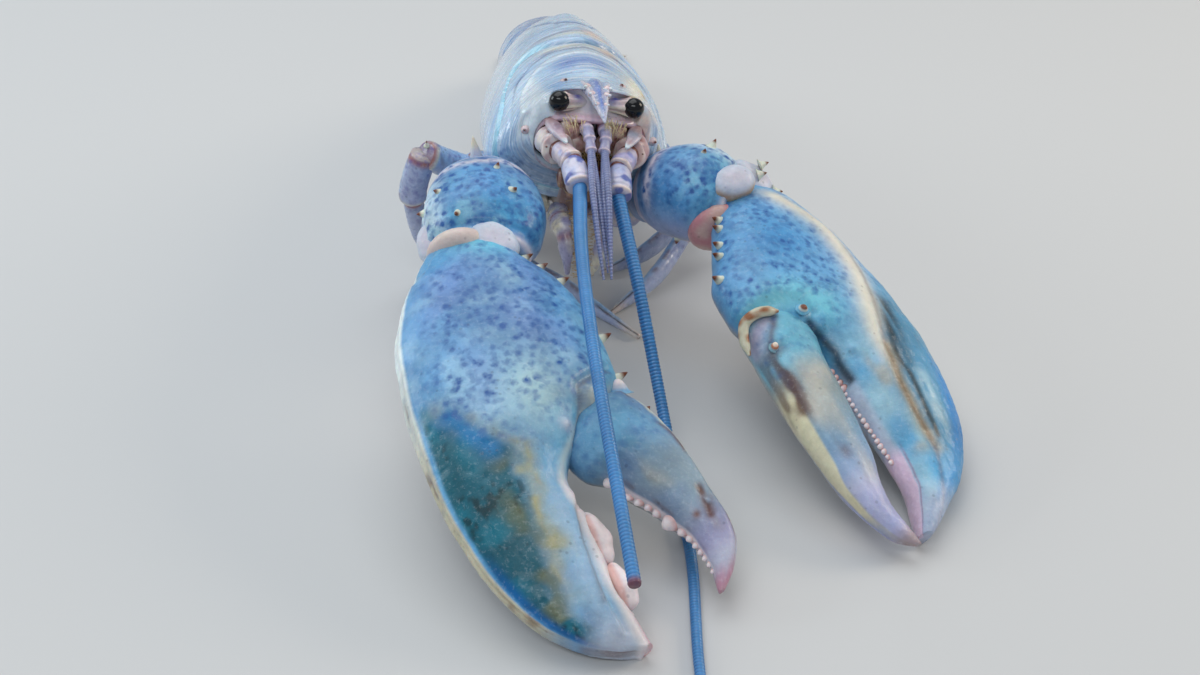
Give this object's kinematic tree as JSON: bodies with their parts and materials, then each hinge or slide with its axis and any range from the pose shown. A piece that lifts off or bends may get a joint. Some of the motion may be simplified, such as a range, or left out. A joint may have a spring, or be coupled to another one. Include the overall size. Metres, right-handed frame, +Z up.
{
  "type": "american lobster",
  "caption": "Still, life-size American lobster: domed shield, ringed tail and fan, a broad crushing claw, a slim cutting claw, walking legs and feelers.",
  "frame": {"origin": "the floor under the middle of the whole animal's box", "axes": "+Y toward the tail, so the head looks toward -Y; +X to the lobster's left; +Z up"},
  "size_m": [0.1558, 0.5228, 0.0815],
  "materials": {
    "back_shell": "glossy silvery blue-white shell with blue bands along its grooves, and lilac and peach tones",
    "claw_shell": "satin-gloss sky-blue shell with darker blue spots, a teal patch, cream rims and brown-tipped thorns",
    "leg_shell": "thin pale blue and cream-green shell with dark blue spots and stripes",
    "feeler": "finely ringed sky-blue feeler, pale lilac toward its end",
    "lilac_shell": "lavender ringed feelers and grey-lilac mouth legs",
    "cream_shell": "glossy cream-pink shell with lilac joints and bristle fringes",
    "eye": "polished black"
  },
  "bodies": {
    "root": {"eye_right": "eye", "eyestalk_right": "cream_shell", "eye_left": "eye", "eyestalk_left": "cream_shell", "antenna_base_right": "cream_shell", "antenna_base_left": "cream_shell", "antennule_right": "lilac_shell", "antennule_left": "lilac_shell", "mouth": "cream_shell", "carapace": "back_shell", "antenna_scale_right": "cream_shell", "antenna_scale_left": "cream_shell", "breast": "cream_shell", "antenna_right": "feeler", "antenna_left_1": "feeler", "antenna_left_2": "feeler", "antenna_left_3": "feeler", "crusher_arm": "claw_shell", "crusher_hip": "cream_shell", "crusher_wrist": "claw_shell", "crusher_finger": "claw_shell", "crusher_palm": "claw_shell", "pincer_arm": "claw_shell", "pincer_hip": "cream_shell", "pincer_wrist": "claw_shell", "pincer_finger": "claw_shell", "pincer_palm": "claw_shell", "mouth_leg_right": "lilac_shell", "mouth_leg_left": "lilac_shell", "leg_1_right_upper": "leg_shell", "leg_1_right_lower": "leg_shell", "leg_1_left_upper": "leg_shell", "leg_1_left_lower": "leg_shell", "leg_2_right_upper": "leg_shell", "leg_2_right_lower": "leg_shell", "leg_2_left_upper": "leg_shell", "leg_2_left_lower": "leg_shell", "leg_3_right_upper": "leg_shell", "leg_3_right_lower": "leg_shell", "leg_3_left_upper": "leg_shell", "leg_3_left_lower": "leg_shell", "leg_4_right_upper": "leg_shell", "leg_4_right_lower": "leg_shell", "leg_4_left_upper": "leg_shell", "leg_4_left_lower": "leg_shell", "telson": "back_shell", "abdomen_1": "back_shell", "abdomen_2": "back_shell", "abdomen_3": "back_shell", "abdomen_4": "back_shell", "abdomen_5": "back_shell", "abdomen_6": "back_shell", "uropod_inner_right": "back_shell", "uropod_outer_right": "back_shell", "uropod_inner_left": "back_shell", "uropod_outer_left": "back_shell"}
  },
  "joints": []
}
